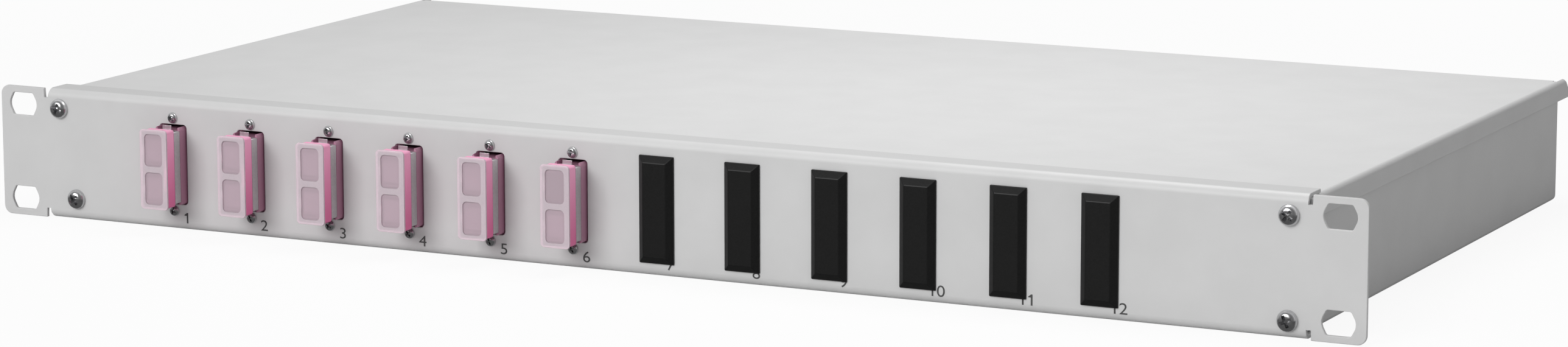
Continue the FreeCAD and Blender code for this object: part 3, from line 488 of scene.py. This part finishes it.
adapterWork = dict(count=6, bodyEdge=0.15 * mm, clipEdge=0.06 * mm, capEdge=0.16 * mm, segments=3)
for number in range(1, adapterWork["count"] + 1):
    dress(f"adapter_body_{number}", "case", heatherPlastic,
          adapterWork["bodyEdge"], adapterWork["segments"])
    dress(f"adapter_clip_{number}", "case", springSteel, adapterWork["clipEdge"])
    dress(f"dust_cap_{number}", f"dust_cap_{number}", frostedCap,
          adapterWork["capEdge"], adapterWork["segments"])
print("adapters done")


# Blanking plugs, rounded only where they stand out of the panel

blankWork = dict(first=7, last=12, edge=0.24 * mm, segments=3, sharp=25, proud=0.1 * mm)
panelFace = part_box("front_panel")[0].y
for number in range(blankWork["first"], blankWork["last"] + 1):
    dress(f"blank_plug_{number}", "case", blackPlastic, blankWork["edge"],
          blankWork["segments"], blankWork["sharp"], lambda spot: spot.y < panelFace - blankWork["proud"])
print("blanking plugs done")


# Rear wall: entry plugs and earth bolt

rearWork = dict(plugs=4, plugEdge=0.2 * mm, plugSegments=3, boltEdge=0.15 * mm)
for number in range(1, rearWork["plugs"] + 1):
    dress(f"entry_plug_{number}", "case", blackPlastic,
          rearWork["plugEdge"], rearWork["plugSegments"])
for nodeName in ("earth_bolt", "earth_nut"):
    dress(nodeName, "case", plainBrass, rearWork["boltEdge"])
print("rear wall done")


# Pan head screws with a cross recess: each turn in degrees, the recess in shares of the head

frontScrew = dict(radius=3.3 * mm, height=2.2 * mm, shank=1.5 * mm, length=7.0 * mm,
                  turns=(20, 50, -25, 35))
coverScrew = dict(radius=2.8 * mm, height=1.7 * mm, shank=1.5 * mm, length=5.0 * mm,
                  turns=(10, 40, 70))
portScrew = dict(radius=1.8 * mm, height=1.2 * mm, shank=0.95 * mm, length=6.0 * mm,
                 turns=(15, 40, 65, 5, 30, 80, 50, 20, 70, 35, 60, 10))
headWork = dict(sides=56, crown=0.92, crownSegments=9, soft=30)
crossWork = dict(reach=1.3, width=0.34, depth=0.8, taper=0.5, above=0.1)
slack = 0.1  # how far a normal may be off and still count


def facesBack(normal):
    return normal.y > 1 - slack


def facesSideways(normal):
    return abs(normal.y) < slack


def panScrew(label, size):
    # head in front of the origin, shank behind it
    radius, height = size["radius"], size["height"]
    deselectAll()
    bpy.ops.mesh.primitive_cylinder_add(vertices=headWork["sides"], radius=radius, depth=height,
                                        location=(0, -height / 2, 0), rotation=(math.pi / 2, 0, 0))
    head = bpy.context.object
    head.name = label
    bpy.ops.object.transform_apply(location=True, rotation=True, scale=True)
    pickEdges(head, lambda start, end: max(start.y, end.y) < -height / 2)
    bpy.ops.mesh.bevel(offset=height * headWork["crown"], segments=headWork["crownSegments"])
    pickFaces(head, facesBack)
    bpy.ops.mesh.inset(thickness=radius - size["shank"])
    bpy.ops.mesh.extrude_region_move(TRANSFORM_OT_translate={"value": (0, size["length"], 0)})
    leaveEdit()
    cutRecess(head, size)
    smooth(head, headWork["soft"])
    return head


def cutRecess(head, size):
    # tapered cross, cut out of the crown
    radius, height = size["radius"], size["height"]
    wide, taper = radius * crossWork["width"], crossWork["taper"]
    arm = radius * crossWork["reach"] / 2 - wide / 2
    top, bottom = -height * (1 + crossWork["above"]), -height * (1 - crossWork["depth"])
    cutter = addBlock(wide, bottom - top, wide, (0, (top + bottom) / 2, 0))
    pickFaces(cutter, facesSideways)
    bpy.ops.mesh.extrude_faces_move(TRANSFORM_OT_shrink_fatten={"value": arm})
    pickFaces(cutter, facesBack)
    bpy.ops.transform.resize(value=(taper, 1, taper), center_override=(0, bottom, 0))
    leaveEdit()
    combine(head, cutter, "DIFFERENCE")


def solidBoxes(nodeName):
    # low and high corner of each separate solid in a node, from left to right and then upwards
    piece = closedCopy(nodeName, "solid")
    activate(piece)
    enterEdit()
    bpy.ops.mesh.select_all(action="SELECT")
    bpy.ops.mesh.separate(type="LOOSE")
    leaveEdit()
    boxes, decimals = [], 4  # ordered to a tenth of a millimetre
    for solid in [item for item in bpy.context.scene.objects if item.name.split(".")[0] == "solid"]:
        spots = [vertex.co for vertex in solid.data.vertices]
        low = Vector(min(spot[i] for spot in spots) for i in range(3))
        high = Vector(max(spot[i] for spot in spots) for i in range(3))
        boxes.append((low, high))
        bpy.data.objects.remove(solid)
    return sorted(boxes, key=lambda box: (round(box[0].x, decimals), round(box[0].z, decimals)))


def fitScrews(nodeName, label, size, rearward=False):
    # a detailed screw in place of each plain one
    model = panScrew(label + "_model", size)
    copies = []
    for (low, high), turn in zip(solidBoxes(nodeName), size["turns"]):
        seat = Vector(((low.x + high.x) / 2, low.y + size["height"], (low.z + high.z) / 2))
        facing = Matrix.Identity(4)
        if rearward:
            seat.y = high.y - size["height"]
            facing = Matrix.Rotation(math.pi, 4, "Z")
        place = Matrix.Translation(seat) @ facing @ Matrix.Rotation(math.radians(turn), 4, "Y")
        copies.append(copyAt(model, place))
    bpy.data.objects.remove(model)
    screws = joinPieces(copies, label)
    paint(screws, brightZinc)
    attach(screws, "case")
    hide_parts(nodeName)


fitScrews("front_screws", "front_screws_detailed", frontScrew)
fitScrews("adapter_screws", "adapter_screws_detailed", portScrew)
fitScrews("cover_screws", "cover_screws_detailed", coverScrew, rearward=True)
print("screws done")


# Printed port numbers, right of and below each port

printWork = dict(count=12, pitch=30 * mm, right=3.32 * mm, base=-19.4 * mm, layer=0.02 * mm,
                 size=5.05 * mm, cell=2.93 * mm, stretch=1.2, stemRight=1.89 * mm,
                 flag=0.86 * mm, flagTip=0.30 * mm, flagRoot=0.98 * mm, flagLap=0.15 * mm)


def printDigit(digit):
    # one figure in its cell, flat on the ground, with its foot on the x axis
    deselectAll()
    bpy.ops.object.text_add(location=(0, 0, 0))
    text = bpy.context.object
    text.data.body = digit
    text.data.size = printWork["size"]
    text.data.extrude = printWork["layer"] / 2
    bpy.ops.object.convert(target="MESH")
    figure = bpy.context.object
    closeSeams(figure)
    figure.data.transform(Matrix.Diagonal((printWork["stretch"], 1, 1, 1)))
    spots = [vertex.co for vertex in figure.data.vertices]
    left, right = min(spot.x for spot in spots), max(spot.x for spot in spots)
    shift = (printWork["cell"] - left - right) / 2
    if digit == "1":
        addFlag(figure, left, max(spot.y for spot in spots))
        shift = printWork["stemRight"] - right
    figure.data.transform(Matrix.Translation((shift, 0, 0)))
    return figure


def addFlag(figure, left, high):
    # the slanting stroke at the head of a one
    long, root, lap = printWork["flag"], printWork["flagRoot"], printWork["flagLap"]
    flag = addBlock(long + lap, root, printWork["layer"], (left + (lap - long) / 2, high - root / 2, 0))
    pickEdges(flag, lambda start, end: max(start.x, end.x) < left - long / 2
              and min(start.y, end.y) > high - root / 2)
    bpy.ops.transform.translate(value=(0, printWork["flagTip"] - root, 0))
    leaveEdit()
    combine(figure, flag, "UNION")


def printNumbers():
    low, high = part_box("adapter_body_1")
    firstPort = (low.x + high.x) / 2
    upright = Matrix.Rotation(math.pi / 2, 4, "X")
    figures = []
    for number in range(1, printWork["count"] + 1):
        start = firstPort + printWork["pitch"] * (number - 1) + printWork["right"]
        for step, digit in enumerate(str(number)):
            figure = printDigit(digit)
            across = start + step * printWork["cell"]
            place = Matrix.Translation((across, panelFace - printWork["layer"] / 2, printWork["base"]))
            figure.data.transform(place @ upright)
            figures.append(figure)
    numbers = joinPieces(figures, "port_numbers")
    paint(numbers, numberInk)
    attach(numbers, "case")


printNumbers()
print("numbers done")


# Pieces inside the case keep their plain form

plainNodes = dict(press_nuts=dullZinc, cover_nuts=dullZinc, adapter_nuts=dullZinc, tray_studs=brightZinc,
                  tray_nuts=greyPlastic, splice_tray=greyPlastic, splice_holders=greyPlastic,
                  fibre_clips=greyPlastic, splice_tray_lid=clearLid, tie_bracket=dullZinc,
                  tie_rivets=dullZinc)
for number in range(1, adapterWork["count"] + 1):
    plainNodes[f"adapter_sleeves_{number}"] = whiteCeramic
    plainNodes[f"rear_cap_{number}"] = frostedCap
for nodeName, material in plainNodes.items():
    paint(nodes[nodeName], material)
print("plain nodes painted")


# Floor and room: white to the camera, dimmer in the light and the reflections on the part

floorLook = dict(size=30.0, colour=grey(0.78), roughness=0.9, glow=(0.92, 1.0), glowReach=(0.35, 1.2),
                 mirrored=0.12)
roomLook = dict(ambient=0.39, mirrored=(0.2, 0.95), turn=(-0.6, 0.3))


def seenRays(tree):
    # one for rays from the camera and for those that clear plastic sends on
    path = addNode(tree, "ShaderNodeLightPath")
    seen = addNode(tree, "ShaderNodeMath", operation="MAXIMUM")
    tree.links.new(path.outputs["Is Camera Ray"], seen.inputs[0])
    tree.links.new(path.outputs["Is Transmission Ray"], seen.inputs[1])
    return seen.outputs[0]


def mixShaders(tree, share, first, second):
    mix = addNode(tree, "ShaderNodeMixShader")
    for source, socket in zip((share, first, second), mix.inputs):
        tree.links.new(source, socket)
    return mix.outputs["Shader"]


def makeFloor():
    deselectAll()
    bpy.ops.mesh.primitive_plane_add(size=floorLook["size"], location=(0, 0, cadLow.z))
    floor = bpy.context.object
    floor.name = "floor"
    material, tree, shader = newMaterial("paleFloor")
    shader.inputs["Base Color"].default_value = (*floorLook["colour"], 1)
    shader.inputs["Roughness"].default_value = floorLook["roughness"]
    shader.inputs["Specular IOR Level"].default_value = 0.0
    path = addNode(tree, "ShaderNodeLightPath")
    mirrored = addNode(tree, "ShaderNodeEmission", Strength=floorLook["mirrored"])
    lit = mixShaders(tree, path.outputs["Is Glossy Ray"], shader.outputs["BSDF"],
                     mirrored.outputs["Emission"])
    where = addNode(tree, "ShaderNodeTexCoord")
    distance = addNode(tree, "ShaderNodeVectorMath", operation="LENGTH")
    tree.links.new(where.outputs["Object"], distance.inputs[0])
    share = addNode(tree, "ShaderNodeMath", operation="MULTIPLY")
    tree.links.new(seenRays(tree), share.inputs[0])
    spread = remap(tree, distance.outputs["Value"], floorLook["glowReach"], floorLook["glow"], "SMOOTHSTEP")
    tree.links.new(spread, share.inputs[1])
    white = addNode(tree, "ShaderNodeEmission", Strength=1.0)
    whole = mixShaders(tree, share.outputs[0], lit, white.outputs["Emission"])
    tree.links.new(whole, tree.nodes["Material Output"].inputs["Surface"])
    paint(floor, material)


def makeRoom():
    # mirrored light is dim in front of the part and bright behind it
    world = bpy.data.worlds.new("studio")
    world.use_nodes = True
    bpy.context.scene.world = world
    tree = world.node_tree
    ambient = tree.nodes["Background"]
    ambient.inputs["Strength"].default_value = roomLook["ambient"]
    mirrored = addNode(tree, "ShaderNodeBackground")
    white = addNode(tree, "ShaderNodeBackground", Strength=1.0)
    for background in (ambient, mirrored, white):
        background.inputs["Color"].default_value = (1, 1, 1, 1)
    where = addNode(tree, "ShaderNodeTexCoord")
    parts = addNode(tree, "ShaderNodeSeparateXYZ")
    tree.links.new(where.outputs["Generated"], parts.inputs["Vector"])
    fade = remap(tree, parts.outputs["Y"], roomLook["turn"], roomLook["mirrored"], "SMOOTHSTEP")
    tree.links.new(fade, mirrored.inputs["Strength"])
    path = addNode(tree, "ShaderNodeLightPath")
    lit = mixShaders(tree, path.outputs["Is Glossy Ray"], ambient.outputs["Background"],
                     mirrored.outputs["Background"])
    whole = mixShaders(tree, seenRays(tree), lit, white.outputs["Background"])
    tree.links.new(whole, tree.nodes["World Output"].inputs["Surface"])


# Lamps and camera: angles in degrees, distances in metres, power in watts, sensor in millimetres

lamps = dict(
    key=dict(turn=-18, rise=28, far=6.0, size=(3.6, 3.0), power=217, target=(0, 0, 0)),
    top=dict(turn=90, rise=89, far=0.42, size=(0.24, 0.24), power=0.99, target=(0.06, 0.13, 0)),
)
view = dict(turn=26.43, rise=10.17, roll=-0.07, far=1.4782, target=(0.05131, -0.00125, 0.01456),
            focalPixels=7877.7, framePixels=2576, sensor=36.0, nearest=0.05)


def around(turn, rise, far, target):
    # a place seen from the target: turn to the right of the front, rise above the horizon
    side, lift = math.radians(turn), math.radians(rise)
    level = math.cos(lift)
    return target + far * Vector((math.sin(side) * level, -math.cos(side) * level, math.sin(lift)))


def makeLamps():
    for label, lamp in lamps.items():
        target = Vector(lamp["target"])
        data = bpy.data.lights.new(label + "Lamp", "AREA")
        data.shape = "RECTANGLE"
        data.size, data.size_y = lamp["size"]
        data.energy = lamp["power"]
        light = bpy.data.objects.new(label + "Lamp", data)
        light.location = around(lamp["turn"], lamp["rise"], lamp["far"], target)
        light.rotation_euler = (target - light.location).to_track_quat("-Z", "Y").to_euler()
        light.visible_camera = False
        bpy.context.scene.collection.objects.link(light)


def makeCamera():
    target = Vector(view["target"])
    data = bpy.data.cameras.new("photoCamera")
    data.sensor_width = view["sensor"]
    data.lens = view["sensor"] * view["focalPixels"] / view["framePixels"]
    data.clip_start = view["nearest"]
    camera = bpy.data.objects.new("photoCamera", data)
    camera.location = around(view["turn"], view["rise"], view["far"], target)
    aim = (target - camera.location).to_track_quat("-Z", "Y").to_matrix().to_4x4()
    tilt = Matrix.Rotation(math.radians(view["roll"]), 4, "Z")
    camera.rotation_euler = (aim @ tilt).to_euler()
    bpy.context.scene.collection.objects.link(camera)
    bpy.context.scene.camera = camera


makeFloor()
makeRoom()
makeLamps()
makeCamera()
bpy.context.scene.view_settings.view_transform = "Standard"
print("stage set")
